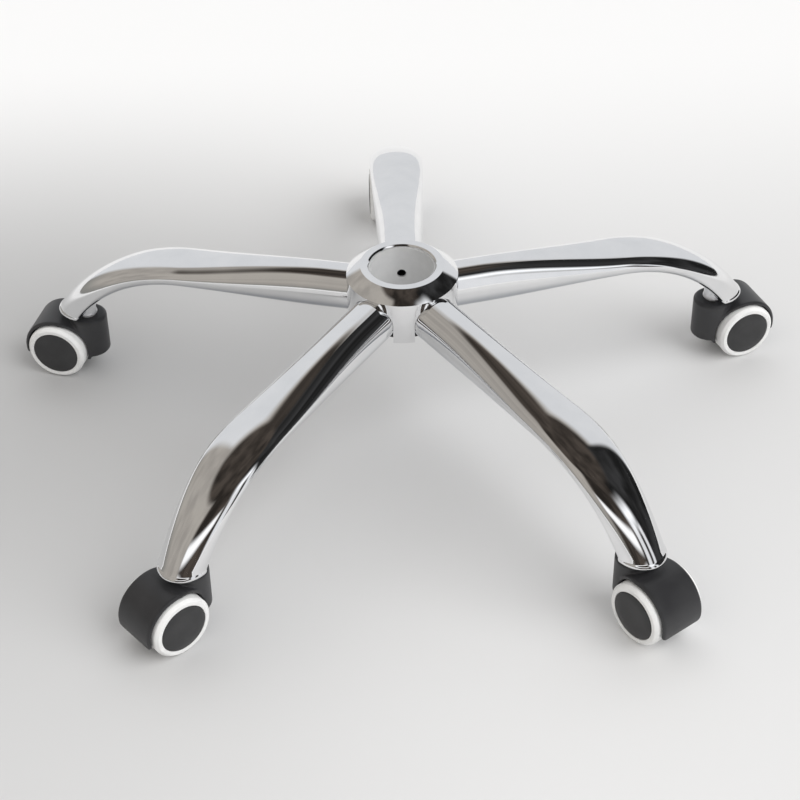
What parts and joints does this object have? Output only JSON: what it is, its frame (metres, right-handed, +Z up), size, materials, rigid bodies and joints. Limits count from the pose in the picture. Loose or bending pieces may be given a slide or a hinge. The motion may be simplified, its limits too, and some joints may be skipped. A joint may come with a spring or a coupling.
{
  "type": "office chair base",
  "caption": "Chromed star base for a swivel chair: bent, pressed tube legs round a tapered hub socket for a lift column, each leg on a swivelling caster with hooded wheels.",
  "frame": {"origin": "on the floor under the hub's axis", "axes": "+Z up along the hub's axis, +Y along leg 1; the other legs follow every 72 degrees counter-clockwise seen from above"},
  "size_m": [0.6444, 0.613, 0.16],
  "materials": {
    "chrome": "mirror plated",
    "bare_steel": "turned, unplated",
    "black_plastic": "moulded satin",
    "pale_tread": "moulded, off-white"
  },
  "bodies": {
    "base": {"hub_cover": "chrome", "taper_sleeve": "bare_steel", "legs": "chrome", "caster_sockets": "chrome", "caster_stems": "bare_steel"},
    "caster_1": {"hood_1": "black_plastic", "axle_1": "bare_steel"},
    "wheel_1_left": {"wheel_1_left": "pale_tread"},
    "wheel_1_right": {"wheel_1_right": "pale_tread"},
    "caster_2": {"hood_2": "black_plastic", "axle_2": "bare_steel"},
    "wheel_2_left": {"wheel_2_left": "pale_tread"},
    "wheel_2_right": {"wheel_2_right": "pale_tread"},
    "caster_3": {"hood_3": "black_plastic", "axle_3": "bare_steel"},
    "wheel_3_left": {"wheel_3_left": "pale_tread"},
    "wheel_3_right": {"wheel_3_right": "pale_tread"},
    "caster_4": {"hood_4": "black_plastic", "axle_4": "bare_steel"},
    "wheel_4_left": {"wheel_4_left": "pale_tread"},
    "wheel_4_right": {"wheel_4_right": "pale_tread"},
    "caster_5": {"hood_5": "black_plastic", "axle_5": "bare_steel"},
    "wheel_5_left": {"wheel_5_left": "pale_tread"},
    "wheel_5_right": {"wheel_5_right": "pale_tread"}
  },
  "joints": [
    {"name": "swivel_1", "type": "hinge", "parent": "base", "child": "caster_1", "pos_m": [0, 0.28, 0.056], "axis": [0, 0, 1], "continuous": true},
    {"name": "roll_1_left", "type": "hinge", "parent": "caster_1", "child": "wheel_1_left", "pos_m": [-0.00021, 0.304, 0.025], "axis": [-1, -0.0087, 0], "continuous": true},
    {"name": "roll_1_right", "type": "hinge", "parent": "caster_1", "child": "wheel_1_right", "pos_m": [-0.00021, 0.304, 0.025], "axis": [-1, -0.0087, 0], "continuous": true},
    {"name": "swivel_2", "type": "hinge", "parent": "base", "child": "caster_2", "pos_m": [-0.2663, 0.08653, 0.056], "axis": [0, 0, 1], "continuous": true},
    {"name": "roll_2_left", "type": "hinge", "parent": "caster_2", "child": "wheel_2_left", "pos_m": [-0.28937, 0.09314, 0.025], "axis": [-0.2756, -0.9613, 0], "continuous": true},
    {"name": "roll_2_right", "type": "hinge", "parent": "caster_2", "child": "wheel_2_right", "pos_m": [-0.28937, 0.09314, 0.025], "axis": [-0.2756, -0.9613, 0], "continuous": true},
    {"name": "swivel_3", "type": "hinge", "parent": "base", "child": "caster_3", "pos_m": [-0.16458, -0.22653, 0.056], "axis": [0, 0, 1], "continuous": true},
    {"name": "roll_3_left", "type": "hinge", "parent": "caster_3", "child": "wheel_3_left", "pos_m": [-0.18283, -0.24211, 0.025], "axis": [0.6494, -0.7604, 0], "continuous": true},
    {"name": "roll_3_right", "type": "hinge", "parent": "caster_3", "child": "wheel_3_right", "pos_m": [-0.18283, -0.24211, 0.025], "axis": [0.6494, -0.7604, 0], "continuous": true},
    {"name": "swivel_4", "type": "hinge", "parent": "base", "child": "caster_4", "pos_m": [0.16458, -0.22653, 0.056], "axis": [0, 0, 1], "continuous": true},
    {"name": "roll_4_left", "type": "hinge", "parent": "caster_4", "child": "wheel_4_left", "pos_m": [0.17879, -0.24587, 0.025], "axis": [0.8059, 0.592, 0], "continuous": true},
    {"name": "roll_4_right", "type": "hinge", "parent": "caster_4", "child": "wheel_4_right", "pos_m": [0.17879, -0.24587, 0.025], "axis": [0.8059, 0.592, 0], "continuous": true},
    {"name": "swivel_5", "type": "hinge", "parent": "base", "child": "caster_5", "pos_m": [0.2663, 0.08653, 0.056], "axis": [0, 0, 1], "continuous": true},
    {"name": "roll_5_left", "type": "hinge", "parent": "caster_5", "child": "wheel_5_left", "pos_m": [0.28861, 0.09536, 0.025], "axis": [-0.3681, 0.9298, 0], "continuous": true},
    {"name": "roll_5_right", "type": "hinge", "parent": "caster_5", "child": "wheel_5_right", "pos_m": [0.28861, 0.09536, 0.025], "axis": [-0.3681, 0.9298, 0], "continuous": true}
  ]
}
